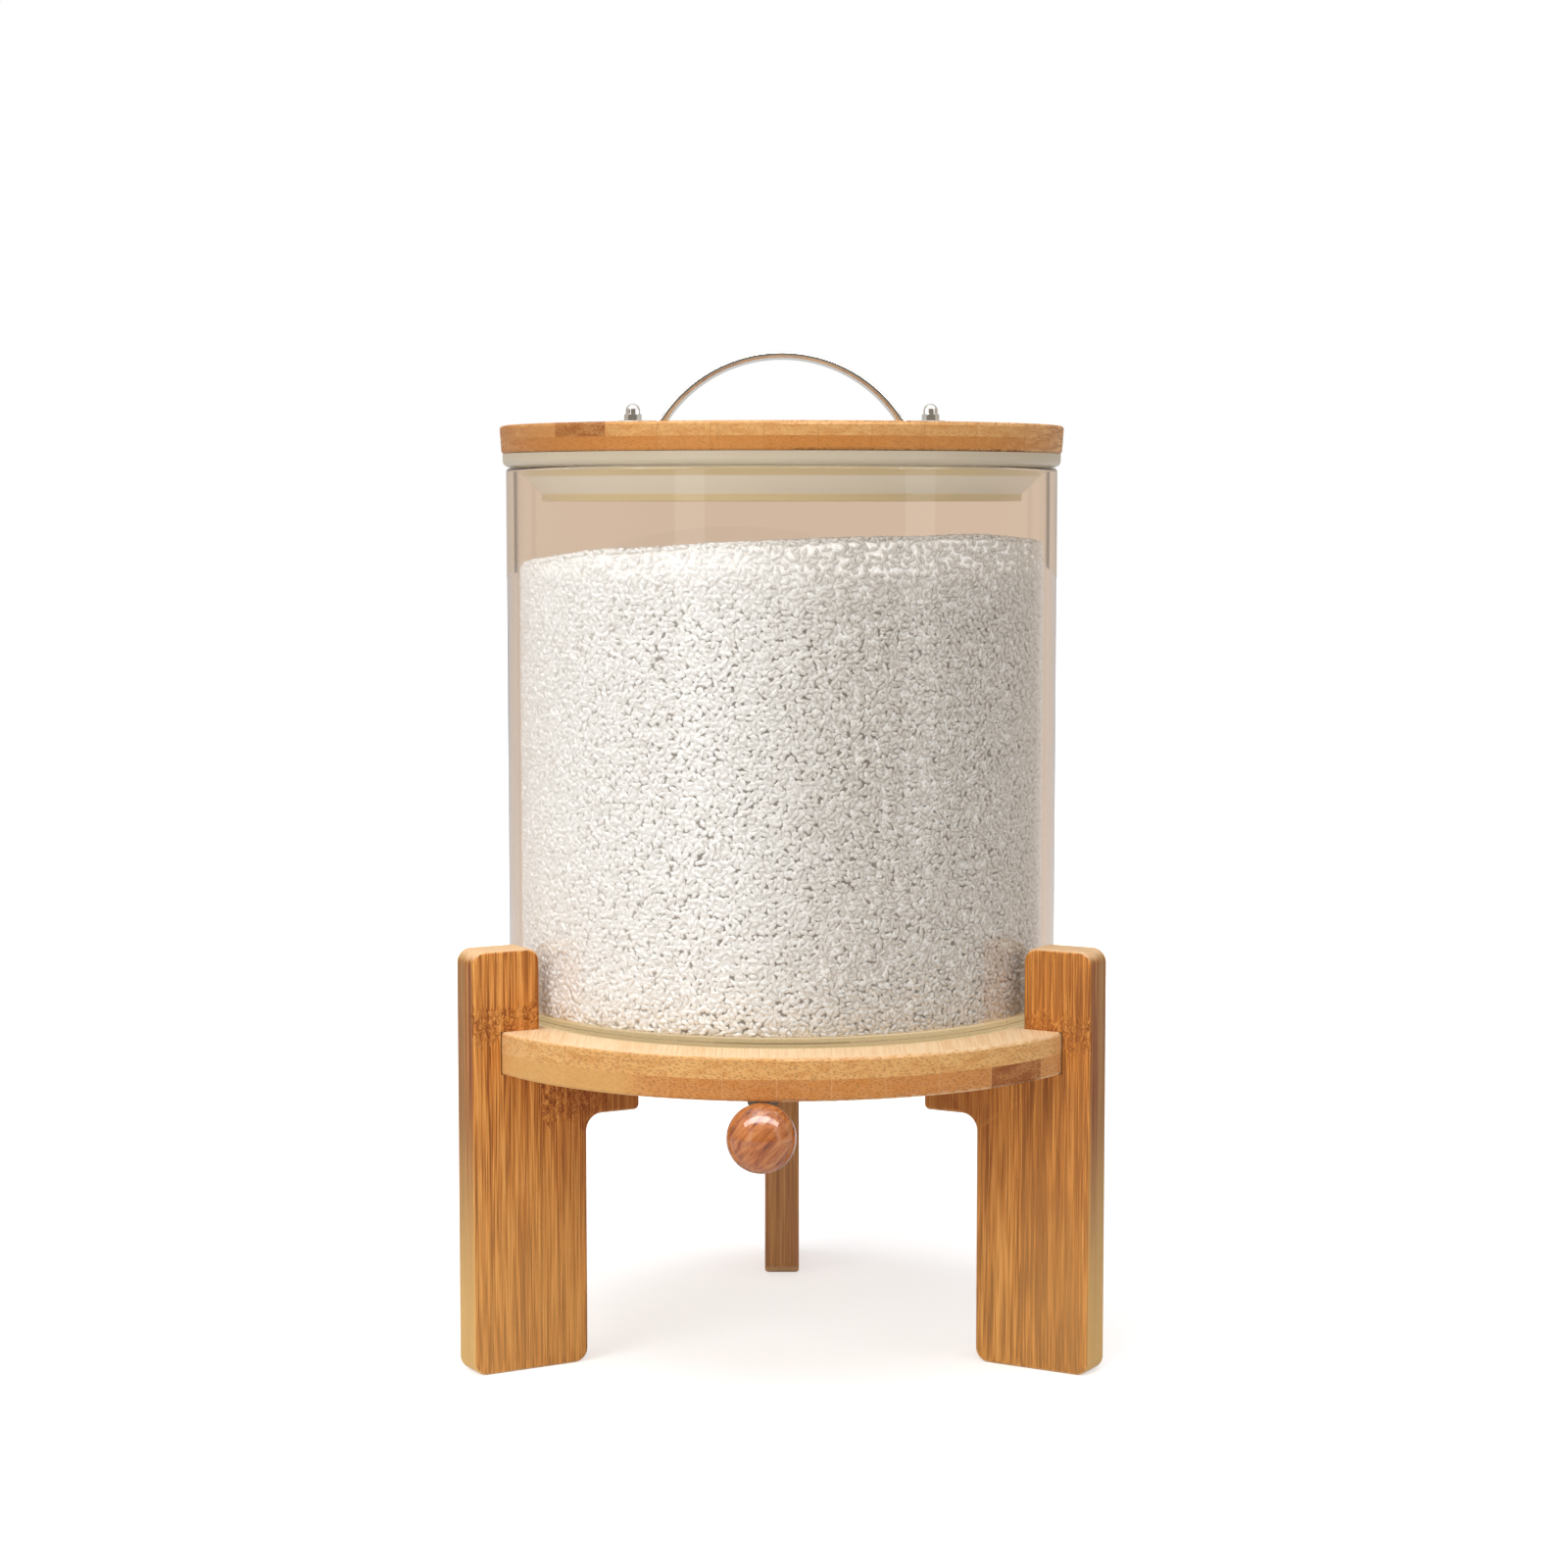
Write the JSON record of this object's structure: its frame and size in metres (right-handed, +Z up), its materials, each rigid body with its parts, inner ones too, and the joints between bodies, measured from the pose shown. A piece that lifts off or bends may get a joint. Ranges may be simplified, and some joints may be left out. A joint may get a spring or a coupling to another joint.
{
  "type": "glass cereal dispenser",
  "caption": "Glass jar for dry grain on a bamboo stand with legs, with a lift-off bamboo lid and a slide gate underneath that a wooden ball pulls open.",
  "frame": {"origin": "on the table, under the jar's centre line, in the plane of the three feet", "axes": "+Z up along the jar; -Y towards the front, where the ball knob is; +X to the right seen from the front"},
  "size_m": [0.234, 0.2654, 0.3601],
  "materials": {
    "jar_glass": "polished",
    "rice": "satin",
    "bamboo": "satin",
    "varnished_wood": "gloss",
    "stopper_plastic": "satin",
    "valve_plastic": "matte",
    "silicone": "matte",
    "polished_steel": "polished",
    "plain_steel": "satin",
    "brass": "satin"
  },
  "bodies": {
    "stand": {"glass_jar": "jar_glass", "rice_fill": "rice", "outlet_bush": "valve_plastic", "bush_gasket": "silicone", "bush_nut": "valve_plastic", "base_plate": "bamboo", "leg_front_left": "bamboo", "leg_front_right": "bamboo", "leg_back": "bamboo", "leg_screws": "plain_steel", "leg_inserts": "brass", "valve_body": "valve_plastic", "gate_seal": "silicone", "valve_cover": "valve_plastic", "valve_screws": "plain_steel"},
    "lid": {"lid_board": "bamboo", "lid_seal": "stopper_plastic", "seal_retainer": "valve_plastic", "retainer_screws": "plain_steel", "lid_handle": "polished_steel", "handle_screws": "plain_steel", "handle_washers": "plain_steel", "handle_cap_nuts": "polished_steel"},
    "gate": {"slide_gate": "plain_steel", "pull_rod": "plain_steel", "rod_nut": "plain_steel", "ball_knob": "varnished_wood", "knob_insert": "brass"}
  },
  "joints": [
    {"name": "lid_lift", "type": "slide", "parent": "stand", "child": "lid", "axis": [0, 0, 1], "range_m": [0, 0.04]},
    {"name": "gate_pull", "type": "slide", "parent": "stand", "child": "gate", "axis": [0, -1, 0], "range_m": [0, 0.048]}
  ]
}
